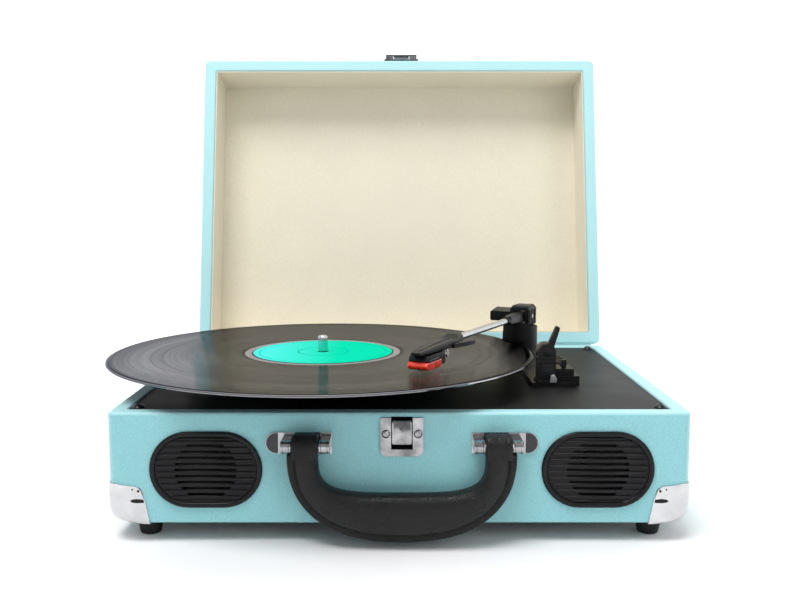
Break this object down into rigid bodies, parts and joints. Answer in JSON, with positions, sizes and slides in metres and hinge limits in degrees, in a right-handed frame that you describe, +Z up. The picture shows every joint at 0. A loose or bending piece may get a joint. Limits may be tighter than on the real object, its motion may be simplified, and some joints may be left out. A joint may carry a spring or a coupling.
{
  "type": "suitcase record player",
  "caption": "Portable record player in a small suitcase, lid open, with a record on the platter, a tonearm, front speaker grilles, a latch and a carrying handle.",
  "frame": {"origin": "centre of the case's flat underside, on the bottom panel", "axes": "+X to the right of someone facing the latch, +Y to the back where the lid hinges, +Z up"},
  "size_m": [0.3849, 0.4033, 0.3438],
  "materials": {
    "leatherette": "fine-grained turquoise leatherette, satin",
    "lining": "cream woven lining, matt",
    "bottom_board": "dark painted fibreboard",
    "foot_rubber": "matt black",
    "corner_metal": "bright nickel plate",
    "deck_paint": "matt black",
    "screw_black": "black oxide, satin",
    "grille_plastic": "satin black",
    "basket_steel": "pressed steel, dark",
    "cone_paper": "black paper",
    "latch_chrome": "polished",
    "bracket_chrome": "polished",
    "handle_grain": "leather-grained black moulding",
    "hinge_steel": "nickel plated steel",
    "bearing_metal": "turned",
    "spindle_chrome": "polished",
    "platter_plastic": "moulded black",
    "mat_felt": "black felt",
    "record_vinyl": "grooved gloss black, green label",
    "motor_steel": "pressed steel",
    "pulley_brass": "turned",
    "belt_rubber": "matt black",
    "arm_plastic": "satin black moulding",
    "cartridge_plastic": "black",
    "stylus_red": "red-orange, slightly translucent",
    "rear_plastic": "satin black",
    "circuit_board": "green board"
  },
  "bodies": {
    "case": {"base_case": "leatherette", "bottom_panel": "bottom_board", "foot_front_left": "foot_rubber", "foot_front_right": "foot_rubber", "foot_rear_left": "foot_rubber", "foot_rear_right": "foot_rubber", "corner_front_left": "corner_metal", "corner_front_right": "corner_metal", "corner_rear_left": "corner_metal", "corner_rear_right": "corner_metal", "deck_plate": "deck_paint", "deck_screw_front_left": "screw_black", "deck_screw_front_right": "screw_black", "deck_screw_rear_left": "screw_black", "deck_screw_rear_right": "screw_black", "grille_left": "grille_plastic", "grille_right": "grille_plastic", "speaker_basket_left": "basket_steel", "speaker_basket_right": "basket_steel", "speaker_cone_left": "cone_paper", "speaker_cone_right": "cone_paper", "latch_plate": "latch_chrome", "handle_bracket_left": "bracket_chrome", "handle_bracket_right": "bracket_chrome", "hinge_base_leaf_left": "hinge_steel", "hinge_base_leaf_right": "hinge_steel", "bearing_bush": "bearing_metal", "motor": "motor_steel", "motor_bracket": "motor_steel", "drive_belt": "belt_rubber", "arm_base": "arm_plastic", "arm_rest": "arm_plastic", "rear_panel": "rear_plastic", "power_inlet": "rear_plastic", "amp_board": "circuit_board"},
    "lid": {"lid_case": "leatherette", "lid_lining": "lining", "hinge_lid_leaf_left": "hinge_steel", "hinge_lid_leaf_right": "hinge_steel", "hasp_base": "latch_chrome"},
    "clasp": {"hasp": "latch_chrome"},
    "button": {"latch_button": "latch_chrome"},
    "grip": {"handle": "handle_grain"},
    "turntable": {"platter": "platter_plastic", "slipmat": "mat_felt", "record": "record_vinyl", "spindle": "spindle_chrome"},
    "pulley": {"motor_pulley": "pulley_brass"},
    "yoke": {"arm_yoke": "arm_plastic", "lift_pin": "bearing_metal"},
    "tonearm": {"arm_neck": "arm_plastic", "arm_tube": "spindle_chrome", "headshell": "arm_plastic", "cartridge": "cartridge_plastic", "stylus": "stylus_red"},
    "lever": {"cue_lever": "arm_plastic"},
    "lifter": {"arm_lifter": "arm_plastic"},
    "switch": {"speed_switch": "arm_plastic"},
    "knob": {"volume_knob": "rear_plastic"}
  },
  "joints": [
    {"name": "lid_hinge", "type": "hinge", "parent": "case", "child": "lid", "pos_m": [0, 0.1308, 0.0693], "axis": [1, 0, 0], "range_deg": [0, 44]},
    {"name": "hasp_fold", "type": "hinge", "parent": "lid", "child": "clasp", "pos_m": [0.0016, 0.1929, 0.3288], "axis": [1, 0, 0], "range_deg": [0, 180]},
    {"name": "latch_release", "type": "slide", "parent": "case", "child": "button", "axis": [0, 0, -1], "range_m": [0, 0.0022], "stiffness_N_per_m": 600, "springref_m": -0.002},
    {"name": "handle_swing", "type": "hinge", "parent": "case", "child": "grip", "pos_m": [0.0016, -0.1403, 0.0506], "axis": [-1, 0, 0], "range_deg": [0, 90]},
    {"name": "platter_spin", "type": "hinge", "parent": "case", "child": "turntable", "pos_m": [-0.0553, -0.0176, 0.08], "axis": [0, 0, 1], "continuous": true},
    {"name": "motor_spin", "type": "hinge", "parent": "case", "child": "pulley", "pos_m": [-0.1083, 0.0354, 0.07], "axis": [0, 0, 1], "continuous": true},
    {"name": "tonearm_swing", "type": "hinge", "parent": "case", "child": "yoke", "pos_m": [0.102, 0.0775, 0.102], "axis": [0, 0, 1], "range_deg": [-15, 25.5]},
    {"name": "tonearm_lift", "type": "hinge", "parent": "yoke", "child": "tonearm", "pos_m": [0.102, 0.0775, 0.102], "axis": [-0.8918, 0.4524, 0], "range_deg": [0, 8]},
    {"name": "cue_raise", "type": "hinge", "parent": "case", "child": "lever", "pos_m": [0.102, -0.0435, 0.0924], "axis": [0, 1, 0], "range_deg": [0, 60]},
    {"name": "lifter_slide", "type": "slide", "parent": "case", "child": "lifter", "axis": [0, 0, 1], "range_m": [0, 0.0024]},
    {"name": "speed_select", "type": "slide", "parent": "case", "child": "switch", "axis": [0, 1, 0], "range_m": [0, 0.012]},
    {"name": "volume_turn", "type": "hinge", "parent": "case", "child": "knob", "pos_m": [0.038, 0.13, 0.034], "axis": [0, 1, 0], "range_deg": [0, 280]}
  ],
  "couplings": [
    {"joint": "motor_spin", "follows": "platter_spin", "ratio": 9.9286},
    {"joint": "tonearm_lift", "follows": "cue_raise", "ratio": 0.13333},
    {"joint": "lifter_slide", "follows": "cue_raise", "m_per_rad": 0.0022918}
  ]
}
